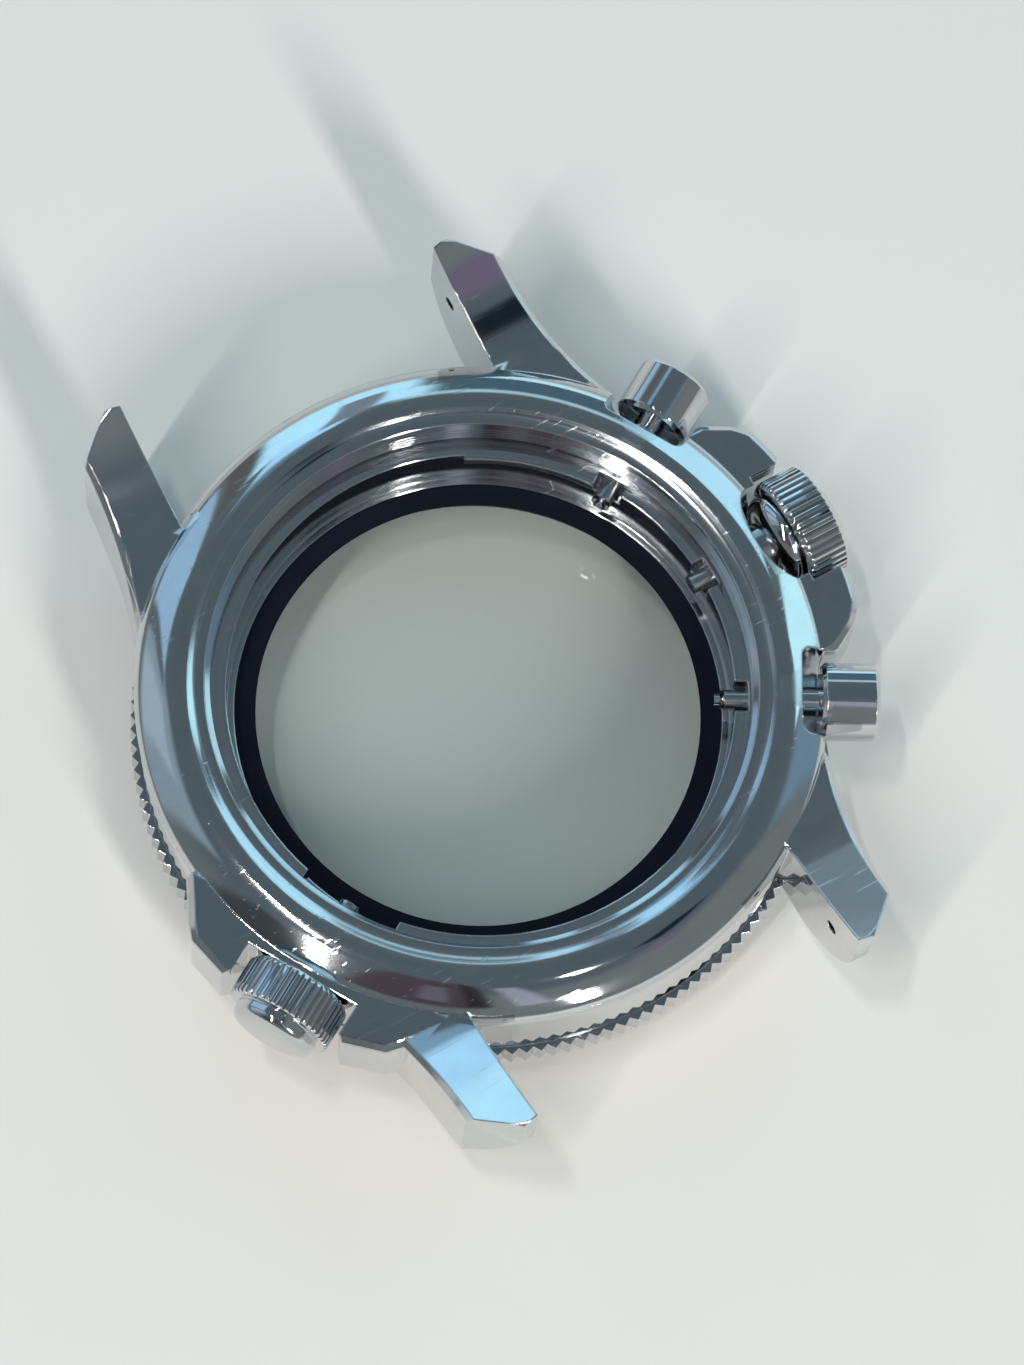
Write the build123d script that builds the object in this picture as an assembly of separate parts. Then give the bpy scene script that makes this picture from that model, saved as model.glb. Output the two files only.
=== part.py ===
from build123d import *
import math
import os

# Empty chronograph diver's watch case, in millimetres.
# Z runs along the case axis and points out of the open case back. Z is zero at the mouth of the case back thread.
# X points to the crown at three o'clock, and minus Y points to twelve o'clock.
# Depths are measured down from the thread mouth. Reaches are measured outward from the case axis.

# Flank and shoulder of the mid case
flank_top_radius = 21.1
flank_top_depth = 1.15
flank_bottom_radius = 20.85
body_depth = 7.3
shoulder_radius = 20.75
shoulder_depth = 0.75
shoulder_crest_radius = 19.8
shoulder_crest_depth = 0.22

# Case back seat, thread and movement room
rim_height = 0.15
rim_outer_radius = 18.73
rim_inner_radius = 17.84
gasket_seat_radius = 17.62
thread_radius = 16.8
ledge_depth = 1.85
movement_radius = 15.5
ledge_pad_radius = 15.25
ledge_pad_thickness = 0.8
ledge_pad_angle = 36.0
ledge_pad_middle = 46.0
dial_seat_depth = 5.5
lip_radius = 15.0
lip_thickness = 0.3

# Front neck that carries the bezel and holds the crystal
neck_radius = 18.2
neck_depth = 9.9
crystal_seat_radius = 15.9

# Lugs
strap_width = 22.0
lug_tip_reach = 25.75
lug_inner_tip_reach = 25.55
lug_tip_land = 1.0
lug_tip_corner_reach = 23.5
lug_tip_half_width = 14.6
lug_waist_half_width = 15.2
lug_waist_reach = 17.95
lug_root_half_width = 16.9
lug_root_reach = 12.6
lug_inner_root_reach = 17.0
lug_back_root_depth = 1.15
lug_back_middle_reach = 18.9
lug_back_middle_depth = 0.42
lug_tip_height = 2.25
lug_end_depth = 1.3
lug_belly_reach = 24.55
lug_belly_depth = 4.6
lug_front_reach = 20.9
lug_front_depth = 7.15
lug_bevel_width = 0.42
lug_bevel_drop = 0.3
lug_edge_chamfer = 0.35
spring_bar_hole_radius = 0.5
spring_bar_hole_length = 1.3
spring_bar_reach = 23.2
spring_bar_depth = 1.9

# Height of the axis of the crown, the pushers and the valve, and where their tubes seat in the wall
control_depth = 2.6
tube_seat_reach = 17.2
crown_angle = 0.0
pusher_angle = 30.0
valve_angle = 210.0

# Crown guards: a pair of horns, each outline in shares of its reach and span
crown_gap_half_width = 3.85
crown_wall_reach = 21.25
guard_reach = 23.5
guard_span = 8.4
guard_round = 0.4
guard_bevel = 0.42
guard_root_reach = 19.2
guard_shares = ((0.994, 0.26), (0.978, 0.58), (0.938, 0.79), (0.865, 1.0))
guard_top_depth = 0.76
guard_bottom_depth = 6.9
guard_edge_bottom_depth = 5.6
guard_envelope_radius = 24.6

# Bowl in the flank behind the crown
bowl_floor_reach = 19.15
bowl_floor_radius = 1.9
bowl_radius = 3.75
bowl_corner_reach = 20.6
bowl_bend_shares = (0.2, 0.4, 0.6, 0.8, 1.0)

# Shoulders either side of the valve
valve_gap_half_width = 3.75
valve_wall_reach = 21.25
valve_shoulder_reach = 23.65
valve_shoulder_span = 9.0
valve_shoulder_shares = ((0.99, 0.22), (0.965, 0.57), (0.93, 0.71), (0.885, 0.84), (0.833, 1.0))

# Pusher pockets
pocket_floor_reach = 19.45
pocket_half_width = 2.75
pocket_corner_radius = 0.6

# Cuts in the movement ledge at the controls
slot_half_width = 0.95
slot_reach = 16.3
slot_depth = 3.2
valve_room_half_width = 3.2
valve_room_radius = 16.45
valve_room_depth = 4.7

# Pushers
pusher_cap_radius = 2.4
pusher_cap_reach = 20.75
pusher_cap_length = 3.5
pusher_cap_round = 0.25
pusher_neck_radius = 0.9
pusher_neck_inner_reach = 18.6
pusher_pin_radius = 0.35
pusher_pin_inner_reach = 14.25
pusher_tube_radius = 1.45
pusher_tube_floor = 0.2
pusher_nozzle_radius = 0.65
pusher_nozzle_inner_reach = 14.85
pusher_clip_radius = 0.62
pusher_clip_thickness = 0.2
pusher_clip_groove_radius = 0.24
pusher_spring_radius = 0.82
pusher_spring_bore_radius = 0.5
pusher_spring_length = 0.3

# Crown
crown_radius = 3.6
crown_inner_reach = 21.4
crown_band_length = 2.7
crown_edge_chamfer = 0.22
crown_dome_height = 1.1
crown_flutes = 46
crown_flute_depth = 0.2
crown_flute_shares = ((0.0, 1.0), (0.56, 1.0), (0.78, 0.0))
crown_flute_step = 0.05
dome_shares = (1.0, 0.85, 0.65, 0.4)
crown_collar_radius = 2.45
crown_collar_reach = 20.2
crown_collar_round = 0.35
crown_room_reach = 24.0
crown_groove_reach = 20.75
crown_groove_length = 0.45
crown_groove_radius = 2.05
control_tube_radius = 1.25
control_neck_radius = 1.55
crown_neck_outer_reach = 21.9
crown_stem_radius = 0.62
crown_stem_inner_reach = 14.9
crown_stem_flange_radius = 1.3
crown_stem_flange_length = 0.25
crown_stem_flange_reach = 22.15
crown_spring_radius = 1.25
crown_spring_bore_radius = 0.85
crown_spring_length = 0.85

# Helium valve
valve_radius = 3.35
valve_inner_reach = 21.4
valve_band_length = 2.7
valve_drum_radius = 2.9
valve_drum_end_radius = 2.25
valve_drum_length = 1.05
valve_drum_shares = ((0.05, 0.0), (0.35, 0.45), (0.65, 0.8), (1.0, 1.0))
valve_room_reach = 23.2
valve_groove_reach = 21.8
valve_neck_outer_reach = 22.5
valve_shaft_radius = 0.4
valve_disc_reach = 15.6
valve_disc_radius = 0.65
valve_disc_length = 0.25
valve_flange_reach = 22.7
valve_spring_radius = 0.65
valve_spring_length = 0.65

# Bezel, with shares of one tooth and one notch
bezel_tip_radius = 21.4
bezel_root_radius = 21.05
bezel_teeth = 150
bezel_tooth_shares = ((0.0, 0.0), (0.5, 1.0))
bezel_tooth_step = 0.06
bezel_back_gap = 0.15
bezel_band_length = 1.8
bezel_face_radius = 20.0
bezel_face_depth = 11.2
bezel_rim_width = 0.45
bezel_flange_radius = 16.1
click_room_radius = 20.1
click_room_depth = 0.75
click_notches = 60
click_notch_depth = 0.15
click_notch_shares = ((0.0, 0.0), (0.25, 1.0))
insert_thickness = 0.65
insert_radius = 15.8
insert_recess = 0.08
pip_radius = 0.75
pip_reach = 17.7
pip_thickness = 0.4
twelve_angle = -90.0

# Retaining wire and click spring under the bezel
wire_reach = 0.3
wire_thickness = 0.36
wire_depth = 9.15
wire_sides = 24
wire_gap_width = 6.0
click_spring_inner_radius = 18.6
click_spring_outer_radius = 19.3
click_spring_thickness = 0.25
click_spring_angle = 70.0
click_tooth_width = 0.9

# Crystal, its gasket and the inner ring
crystal_radius = 15.5
crystal_thickness = 2.5
crystal_front_depth = 11.05
inner_ring_radius = 13.7
inner_ring_front_radius = 14.7

# Clearances
running_clearance = 0.05
seat_clearance = 0.02
moving_clearance = 0.15
overrun = 1.0

Z_UP = (0, 0, 1)


def closed_face(points):
    """Face inside a closed run of straight edges."""
    return make_face(Polyline(*points, close=True))


def turned(outline):
    """Solid turned about the Z axis from (radius, height) points."""
    return revolve(closed_face([(r, 0, h) for r, h in outline]), Axis.Z)


def tube(outer, inner, low, high):
    """Plain ring between two heights."""
    return turned([(inner, low), (outer, low), (outer, high), (inner, high)])


def rod(radius, low, high):
    """Plain cylinder between two heights."""
    return turned([(0, low), (radius, low), (radius, high), (0, high)])


def block(low, high):
    """Box between two corners."""
    size = [high[i] - low[i] for i in range(len(low))]
    return Pos(*low) * Box(*size, align=(Align.MIN, Align.MIN, Align.MIN))


def prism(points, low, high):
    """Upright solid over a flat outline, between two heights."""
    return extrude(closed_face([(x, y, low) for x, y in points]), high - low, dir=Z_UP)


def control_place(angle):
    """Local frame of a radial control: local Z runs outward and local Y runs up."""
    a = math.radians(angle)
    across = (-math.sin(a), math.cos(a), 0)
    outward = (math.cos(a), math.sin(a), 0)
    return Plane(origin=(0, 0, -control_depth), x_dir=across, z_dir=outward).location


def ring_sector(outer, inner, low, high, middle, angle):
    """Part of a plain ring between two angles."""
    reach = (outer + overrun) / math.cos(math.radians(angle / 2))
    ends = []
    for side in (middle - angle / 2, middle + angle / 2):
        a = math.radians(side)
        ends.append((reach * math.cos(a), reach * math.sin(a)))
    return tube(outer, inner, low, high) & prism([(0, 0)] + ends, low, high)


def toothed_outline(inner, outer, count, shares):
    """Points of a toothed circle, where each tooth has one point for each angle share and depth share."""
    points = []
    for i in range(count):
        for angle_share, depth_share in shares:
            a = 2 * math.pi * (i + angle_share) / count
            r = inner + (outer - inner) * depth_share
            points.append((r * math.cos(a), r * math.sin(a)))
    return points


def regular_outline(radius, sides):
    """Points of a regular polygon with its corners at one radius."""
    return toothed_outline(radius, radius, sides, ((0, 0),))


def case_ring():
    """Turned middle of the case, with the case back seat above and the bezel neck below."""
    lip_depth = dial_seat_depth + lip_thickness
    return turned([
        (crystal_seat_radius, -neck_depth),
        (crystal_seat_radius, -lip_depth),
        (lip_radius, -lip_depth),
        (lip_radius, -dial_seat_depth),
        (movement_radius, -dial_seat_depth),
        (movement_radius, -ledge_depth),
        (thread_radius, -ledge_depth),
        (thread_radius, 0),
        (gasket_seat_radius, 0),
        (rim_inner_radius, rim_height),
        (rim_outer_radius, rim_height),
        (shoulder_crest_radius, -shoulder_crest_depth),
        (shoulder_radius, -shoulder_depth),
        (flank_top_radius, -flank_top_depth),
        (flank_bottom_radius, -body_depth),
        (neck_radius, -body_depth),
        (neck_radius, -neck_depth),
    ])


def ledge_pad():
    """Raised pad on the movement bore beside the crown, just under the ledge."""
    outer = movement_radius + overrun
    low = -ledge_depth - ledge_pad_thickness
    return ring_sector(outer, ledge_pad_radius, low, -ledge_depth, ledge_pad_middle, ledge_pad_angle)


def lug_plan():
    """Outline of the lug with positive X and Y, seen along the case axis."""
    inner_x = strap_width / 2
    root = (lug_root_half_width, lug_root_reach)
    waist = (lug_waist_half_width, lug_waist_reach)
    tip_corner = (lug_tip_half_width, lug_tip_corner_reach)
    edges = Polyline(
        root,
        (inner_x, lug_inner_root_reach),
        (inner_x, lug_inner_tip_reach),
        (inner_x + lug_tip_land, lug_tip_reach),
        tip_corner,
    )
    edges += ThreePointArc(tip_corner, waist, root)
    return make_face(edges)


def lug_side():
    """Side outline of a lug in the YZ plane, with the case back side above and the dial side below."""
    back_root = (0, lug_root_reach, -lug_back_root_depth)
    back_middle = (0, lug_back_middle_reach, -lug_back_middle_depth)
    back_tip = (0, lug_tip_reach, lug_tip_height)
    end_low = (0, lug_tip_reach, -lug_end_depth)
    belly = (0, lug_belly_reach, -lug_belly_depth)
    front = (0, lug_front_reach, -lug_front_depth)
    front_root = (0, lug_root_reach, -lug_front_depth)
    edges = ThreePointArc(back_root, back_middle, back_tip)
    edges += Line(back_tip, end_low)
    edges += ThreePointArc(end_low, belly, front)
    edges += Polyline(front, front_root, back_root)
    return make_face(edges)


def lug_tip_bevel():
    """Wedge that bevels the back edge of the slanted lug tip."""
    start = (strap_width / 2 + lug_tip_land, lug_tip_reach, lug_tip_height)
    run_x = lug_tip_half_width - start[0]
    run_y = lug_tip_corner_reach - lug_tip_reach
    length = math.hypot(run_x, run_y)
    inward = (run_y / length, -run_x / length, 0)
    wedge = closed_face([
        (lug_bevel_width, 0, 0),
        (-overrun, 0, -lug_bevel_drop * (overrun + lug_bevel_width) / lug_bevel_width),
        (-overrun, 0, overrun),
        (lug_bevel_width, 0, overrun),
    ])
    wedge = extrude(wedge, length, dir=(0, 1, 0), both=True)
    return Plane(origin=start, x_dir=inward, z_dir=Z_UP).location * wedge


def lug():
    """The lug with positive X and Y, with its spring bar hole."""
    plan = extrude(Pos(0, 0, -body_depth - overrun) * lug_plan(), body_depth + lug_tip_height + 2 * overrun)
    side = extrude(lug_side(), lug_root_half_width + overrun, dir=(1, 0, 0))
    solid = plan & side
    long_edges = solid.edges().filter_by(lambda e: e.length > lug_tip_corner_reach - lug_inner_root_reach)
    outer_edges = long_edges.filter_by(lambda e: e.center().X > lug_tip_half_width)
    back_edge = outer_edges.sort_by(Axis.Z)[-1]
    solid = chamfer(back_edge, lug_edge_chamfer)
    solid -= lug_tip_bevel()
    hole_plane = Plane(
        origin=(strap_width / 2, spring_bar_reach, -spring_bar_depth),
        x_dir=(0, 1, 0),
        z_dir=(1, 0, 0),
    )
    return solid - hole_plane.location * rod(spring_bar_hole_radius, -overrun, spring_bar_hole_length)


def horn_envelope():
    """Ring that shapes the bottom slopes of the guards and the valve shoulders."""
    root = guard_root_reach - overrun
    return turned([
        (root, -guard_bottom_depth),
        (guard_envelope_radius, -guard_edge_bottom_depth),
        (guard_envelope_radius, 0),
        (root, 0),
    ])


def horn_pair(reach, span, wall_reach, half_width, shares):
    """Pair of flat topped horns either side of a gap that faces plus X, with the wall behind the gap."""
    points = [
        (guard_root_reach, half_width),
        (reach - guard_round, half_width),
        (reach, half_width + guard_round),
    ]
    for reach_share, span_share in shares:
        points.append((reach * reach_share, half_width + (span - half_width) * span_share))
    points.append((guard_root_reach, span))
    horn = prism(points, -body_depth, -guard_top_depth)
    top_edges = horn.faces().sort_by(Axis.Z)[-1].edges()
    outer_edges = top_edges.filter_by(lambda e: e.center().Y > half_width + guard_round / 2)
    horn = chamfer(outer_edges.filter_by(lambda e: e.center().X > guard_root_reach + guard_round), guard_bevel)
    wall = block(
        (guard_root_reach, -half_width, -body_depth),
        (wall_reach, half_width, -guard_top_depth),
    )
    return (horn + mirror(horn, Plane.XZ) + wall) & horn_envelope()


def crown_guards():
    """Guards either side of the crown, joined by the wall that the bowl is cut in."""
    return horn_pair(guard_reach, guard_span, crown_wall_reach, crown_gap_half_width, guard_shares)


def valve_shoulders():
    """Shoulders either side of the valve, joined by the flat wall behind it."""
    return Rot(0, 0, valve_angle) * horn_pair(
        valve_shoulder_reach, valve_shoulder_span, valve_wall_reach, valve_gap_half_width, valve_shoulder_shares
    )


def crown_bowl():
    """Round bowl in the flank behind the crown, in the frame of the crown."""
    outline = [(0, bowl_floor_reach), (bowl_floor_radius, bowl_floor_reach)]
    for share in bowl_bend_shares:
        a = math.pi / 2 * share
        radius = bowl_floor_radius + (bowl_radius - bowl_floor_radius) * math.sin(a)
        reach = bowl_corner_reach - (bowl_corner_reach - bowl_floor_reach) * math.cos(a)
        outline.append((radius, reach))
    far = guard_envelope_radius + overrun
    return turned(outline + [(bowl_radius, far), (0, far)])


def pusher_pocket():
    """Round bottomed pocket for a pusher cap, open towards the case back, in the frame of the pusher."""
    far = guard_envelope_radius + overrun
    cradle = rod(pocket_half_width, pocket_floor_reach, far)
    open_top = block(
        (-pocket_half_width, 0, pocket_floor_reach),
        (pocket_half_width, control_depth + overrun, far),
    )
    corners = open_top.edges().filter_by(Axis.Y).filter_by(lambda e: e.center().Z < pocket_floor_reach + overrun)
    return cradle + fillet(corners, pocket_corner_radius)


def ledge_slot():
    """Slot in the movement ledge above a crown stem or a pusher tube, in the frame of the control."""
    return block(
        (-slot_half_width, control_depth - slot_depth, lip_radius - overrun),
        (slot_half_width, control_depth - ledge_depth + overrun / 2, slot_reach),
    )


def valve_room():
    """Recess in the movement ledge at the valve."""
    low = control_depth - valve_room_depth
    cut = block(
        (-valve_room_half_width, low, lip_radius - overrun),
        (valve_room_half_width, control_depth - ledge_depth + overrun / 2, valve_room_radius + overrun),
    )
    return (control_place(valve_angle) * cut) & rod(valve_room_radius, -body_depth, 0)


def wire_groove():
    """Groove round the neck for the retaining wire."""
    half = wire_thickness / 2 + seat_clearance
    inner_corner = neck_radius + wire_reach - wire_thickness
    floor = inner_corner * math.cos(math.pi / wire_sides) - seat_clearance
    return tube(neck_radius + overrun, floor, -wire_depth - half, -wire_depth + half)


def control_bores():
    """Radial holes through the wall for the tubes of the crown, the valve and the pushers."""
    inside = lip_radius - overrun
    far = shoulder_radius + overrun
    large = rod(control_tube_radius + seat_clearance, tube_seat_reach, far)
    crown = large + rod(crown_stem_radius + running_clearance, inside, far)
    valve = large + rod(valve_spring_radius + running_clearance, inside, far)
    pusher = rod(pusher_tube_radius + seat_clearance, tube_seat_reach, far)
    pusher += rod(pusher_nozzle_radius + seat_clearance, inside, far)
    bores = control_place(crown_angle) * crown + control_place(valve_angle) * valve
    for angle in (pusher_angle, -pusher_angle):
        bores += control_place(angle) * pusher
    return bores


def mid_case():
    """Mid case with lugs, crown guards, valve shoulders and every bore and pocket."""
    side_pair = lug() + mirror(lug(), Plane.YZ)
    body = case_ring() + crown_guards() + valve_shoulders() + ledge_pad()
    body += side_pair + mirror(side_pair, Plane.XZ)
    body -= control_place(crown_angle) * (crown_bowl() + ledge_slot())
    for angle in (pusher_angle, -pusher_angle):
        body -= control_place(angle) * (pusher_pocket() + ledge_slot())
    return body - valve_room() - wire_groove() - control_bores()


def inner_ring():
    """Black ring between the dial lip and the crystal."""
    back = -dial_seat_depth - lip_thickness
    front = -crystal_front_depth + crystal_thickness + seat_clearance
    outer = crystal_seat_radius - seat_clearance
    return turned([
        (outer, back),
        (inner_ring_radius, back),
        (inner_ring_front_radius, front),
        (outer, front),
    ])


def crystal():
    """Flat crystal, seated inside its gasket."""
    return rod(crystal_radius, -crystal_front_depth, -crystal_front_depth + crystal_thickness)


def crystal_gasket():
    """Sealing ring pressed between the crystal and the neck."""
    back = -crystal_front_depth + crystal_thickness
    return tube(crystal_seat_radius - seat_clearance, crystal_radius + seat_clearance, -neck_depth, back)


def bezel_body():
    """Turned body of the rotating bezel, below its room for the click spring."""
    room_floor = -body_depth - bezel_back_gap - click_room_depth
    band_end = -body_depth - bezel_back_gap - bezel_band_length
    outer = bezel_root_radius - bezel_tooth_step
    bore = neck_radius + running_clearance
    wire_room = neck_radius + wire_reach + moving_clearance
    wire_top = -wire_depth + wire_thickness / 2 + moving_clearance
    flange_back = -neck_depth - running_clearance
    insert_floor = -bezel_face_depth + insert_recess + insert_thickness
    rim_inner = bezel_face_radius - bezel_rim_width
    return turned([
        (bore, room_floor),
        (outer, room_floor),
        (outer, band_end),
        (bezel_face_radius, -bezel_face_depth),
        (rim_inner, -bezel_face_depth),
        (rim_inner, insert_floor),
        (bezel_flange_radius, insert_floor),
        (bezel_flange_radius, flange_back),
        (wire_room, flange_back),
        (wire_room, wire_top),
        (bore, wire_top),
    ])


def bezel_band():
    """Toothed band round the bezel, with click notches round its inner wall."""
    back = -body_depth - bezel_back_gap
    teeth = toothed_outline(bezel_root_radius, bezel_tip_radius, bezel_teeth, bezel_tooth_shares)
    tips = click_room_radius - click_notch_depth
    notches = toothed_outline(tips, click_room_radius, click_notches, click_notch_shares)
    return prism(teeth, back - bezel_band_length, back) - prism(notches, -bezel_face_depth, 0)


def rotating_bezel():
    """Rotating bezel with a finely toothed edge."""
    return bezel_body() + bezel_band()


def at_twelve(solid):
    """Turns a solid from plus X to twelve o'clock."""
    return Rot(0, 0, twelve_angle) * solid


def bezel_insert():
    """Flat ring in the front of the bezel, with a seat for the luminous dot."""
    front = -bezel_face_depth + insert_recess
    outer = bezel_face_radius - bezel_rim_width - seat_clearance
    seat = Pos(pip_reach, 0, 0) * rod(pip_radius, front - overrun, front + pip_thickness)
    return at_twelve(tube(outer, insert_radius, front, front + insert_thickness) - seat)


def bezel_pip():
    """Luminous dot at twelve o'clock on the bezel."""
    front = -bezel_face_depth + insert_recess
    return at_twelve(Pos(pip_reach, 0, 0) * rod(pip_radius - seat_clearance, front, front + pip_thickness))


def bezel_retaining_wire():
    """Open ring of short straight sides that holds the bezel on the neck."""
    outer = neck_radius + wire_reach
    low = -wire_depth - wire_thickness / 2
    high = low + wire_thickness
    ring = prism(regular_outline(outer, wire_sides), low, high)
    ring -= prism(regular_outline(outer - wire_thickness, wire_sides), low, high)
    return ring - block((0, -wire_gap_width / 2, low), (outer, wire_gap_width / 2, high))


def bezel_click_spring():
    """Leaf under the mid case, with a tooth that points to the notches of the bezel."""
    top = -body_depth
    low = top - click_spring_thickness
    leaf = ring_sector(
        click_spring_outer_radius, click_spring_inner_radius, low, top, twelve_angle, click_spring_angle
    )
    tip = click_room_radius - click_notch_depth - moving_clearance
    tooth = prism(
        [(click_spring_inner_radius, 0), (click_spring_inner_radius, -click_tooth_width), (tip, 0)], low, top
    )
    return leaf + Rot(0, 0, twelve_angle + click_spring_angle / 2) * tooth


def control_tube(bore, neck_start, neck_end):
    """Tube pressed in the wall, with a wider neck outside it, in the frame of the control."""
    return turned([
        (bore, tube_seat_reach),
        (control_tube_radius, tube_seat_reach),
        (control_tube_radius, neck_start),
        (control_neck_radius, neck_start),
        (control_neck_radius, neck_end),
        (bore, neck_end),
    ])


def dome_points(edge_radius, base, height):
    """Outline points of a low dome from its edge to a small flat at its crest."""
    dome_radius = (edge_radius ** 2 + height ** 2) / (2 * height)
    points = []
    for share in dome_shares:
        r = edge_radius * share
        points.append((r, base + height - dome_radius + math.sqrt(dome_radius ** 2 - r ** 2)))
    return points + [(0, points[-1][1])]


def fluted_cap(radius, inner_reach, band_length, end_points):
    """Fluted head with a turned end, in the frame of its control."""
    groove = radius - crown_flute_depth
    core = groove - crown_flute_step
    band_start = inner_reach + crown_edge_chamfer
    flutes = toothed_outline(groove, radius, crown_flutes, crown_flute_shares)
    outline = [(0, inner_reach), (core - crown_edge_chamfer, inner_reach), (core, band_start)]
    return turned(outline + end_points) + prism(flutes, band_start, inner_reach + band_length)


def cap_room(low, high, groove_reach):
    """Room inside a fluted head for the neck of its tube, with the groove for its gasket."""
    groove_end = groove_reach + crown_groove_length
    radius = control_neck_radius + running_clearance
    return turned([
        (0, low),
        (radius, low),
        (radius, groove_reach),
        (crown_groove_radius, groove_reach),
        (crown_groove_radius, groove_end),
        (radius, groove_end),
        (radius, high),
        (0, high),
    ])


def neck_gasket(groove_reach):
    """Ring gasket that runs on the neck of a control tube."""
    low = groove_reach + seat_clearance
    high = groove_reach + crown_groove_length - seat_clearance
    return tube(crown_groove_radius - seat_clearance, control_neck_radius + running_clearance, low, high)


def crown_tube():
    """Tube that the crown screws onto."""
    bore = crown_stem_radius + running_clearance
    return control_place(crown_angle) * control_tube(bore, bowl_floor_reach, crown_neck_outer_reach)


def crown_head():
    """Fluted crown with a collar on its inner side."""
    dome_edge = crown_radius - crown_flute_depth - crown_flute_step
    dome = dome_points(dome_edge, crown_inner_reach + crown_band_length, crown_dome_height)
    cap = fluted_cap(crown_radius, crown_inner_reach, crown_band_length, dome)
    collar = turned([
        (0, crown_collar_reach),
        (crown_collar_radius - crown_collar_round, crown_collar_reach),
        (crown_collar_radius, crown_collar_reach + crown_collar_round),
        (crown_collar_radius, crown_inner_reach),
        (0, crown_inner_reach),
    ])
    room = cap_room(crown_collar_reach - overrun, crown_room_reach, crown_groove_reach)
    return control_place(crown_angle) * (cap + collar - room)


def crown_gasket():
    """Gasket inside the crown."""
    return control_place(crown_angle) * neck_gasket(crown_groove_reach)


def crown_stem():
    """Stem with the flange that is held inside the crown."""
    flange_end = crown_stem_flange_reach + crown_stem_flange_length
    return control_place(crown_angle) * turned([
        (0, crown_stem_inner_reach),
        (crown_stem_radius, crown_stem_inner_reach),
        (crown_stem_radius, crown_stem_flange_reach),
        (crown_stem_flange_radius, crown_stem_flange_reach),
        (crown_stem_flange_radius, flange_end),
        (0, flange_end),
    ])


def crown_spring():
    """Spring inside the crown, at its pressed length."""
    low = crown_stem_flange_reach + crown_stem_flange_length
    coil = tube(crown_spring_radius, crown_spring_bore_radius, low, low + crown_spring_length)
    return control_place(crown_angle) * coil


def valve_tube():
    """Tube that the valve head screws onto."""
    bore = valve_shaft_radius + running_clearance
    return control_place(valve_angle) * control_tube(bore, valve_wall_reach, valve_neck_outer_reach)


def valve_head():
    """Fluted head of the helium valve with a smooth drum that narrows to its flat end."""
    band_end = valve_inner_reach + valve_band_length
    drum = [(valve_radius - crown_flute_depth - crown_flute_step, band_end)]
    for length_share, narrowing_share in valve_drum_shares:
        radius = valve_drum_radius - (valve_drum_radius - valve_drum_end_radius) * narrowing_share
        drum.append((radius, band_end + valve_drum_length * length_share))
    drum.append((0, drum[-1][1]))
    cap = fluted_cap(valve_radius, valve_inner_reach, valve_band_length, drum)
    room = cap_room(valve_inner_reach - overrun, valve_room_reach, valve_groove_reach)
    return control_place(valve_angle) * (cap - room)


def valve_gasket():
    """Gasket inside the valve head."""
    return control_place(valve_angle) * neck_gasket(valve_groove_reach)


def valve_plunger():
    """Plunger with a sealing disc inside the case and a flange inside the valve head."""
    disc_end = valve_disc_reach + valve_disc_length
    flange_end = valve_flange_reach + crown_stem_flange_length
    return control_place(valve_angle) * turned([
        (0, valve_disc_reach),
        (valve_disc_radius, valve_disc_reach),
        (valve_disc_radius, disc_end),
        (valve_shaft_radius, disc_end),
        (valve_shaft_radius, valve_flange_reach),
        (crown_stem_flange_radius, valve_flange_reach),
        (crown_stem_flange_radius, flange_end),
        (0, flange_end),
    ])


def valve_spring():
    """Spring behind the sealing disc, at its pressed length."""
    low = valve_disc_reach + valve_disc_length
    inner = valve_shaft_radius + running_clearance
    return control_place(valve_angle) * tube(valve_spring_radius, inner, low, low + valve_spring_length)


def pusher(angle):
    """Pusher cap with its neck and its pin."""
    cap_end = pusher_cap_reach + pusher_cap_length
    clip_high = pusher_nozzle_inner_reach - running_clearance
    clip_low = clip_high - pusher_clip_thickness
    edge = pusher_cap_round
    return control_place(angle) * turned([
        (0, pusher_pin_inner_reach),
        (pusher_pin_radius, pusher_pin_inner_reach),
        (pusher_pin_radius, clip_low),
        (pusher_clip_groove_radius, clip_low),
        (pusher_clip_groove_radius, clip_high),
        (pusher_pin_radius, clip_high),
        (pusher_pin_radius, pusher_neck_inner_reach),
        (pusher_neck_radius, pusher_neck_inner_reach),
        (pusher_neck_radius, pusher_cap_reach),
        (pusher_cap_radius - edge, pusher_cap_reach),
        (pusher_cap_radius, pusher_cap_reach + edge),
        (pusher_cap_radius, cap_end - edge),
        (pusher_cap_radius - edge, cap_end),
        (0, cap_end),
    ])


def pusher_tube(angle):
    """Tube pressed in the wall, with a narrow nozzle that guides the pin."""
    floor = tube_seat_reach + pusher_tube_floor
    return control_place(angle) * turned([
        (pusher_pin_radius + running_clearance, pusher_nozzle_inner_reach),
        (pusher_nozzle_radius, pusher_nozzle_inner_reach),
        (pusher_nozzle_radius, tube_seat_reach),
        (pusher_tube_radius, tube_seat_reach),
        (pusher_tube_radius, pocket_floor_reach),
        (pusher_neck_radius + running_clearance, pocket_floor_reach),
        (pusher_neck_radius + running_clearance, floor),
        (pusher_pin_radius + running_clearance, floor),
    ])


def pusher_spring(angle):
    """Return spring at the floor of the tube, at its pressed length."""
    floor = tube_seat_reach + pusher_tube_floor
    coil = tube(pusher_spring_radius, pusher_spring_bore_radius, floor, floor + pusher_spring_length)
    return control_place(angle) * coil


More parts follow.
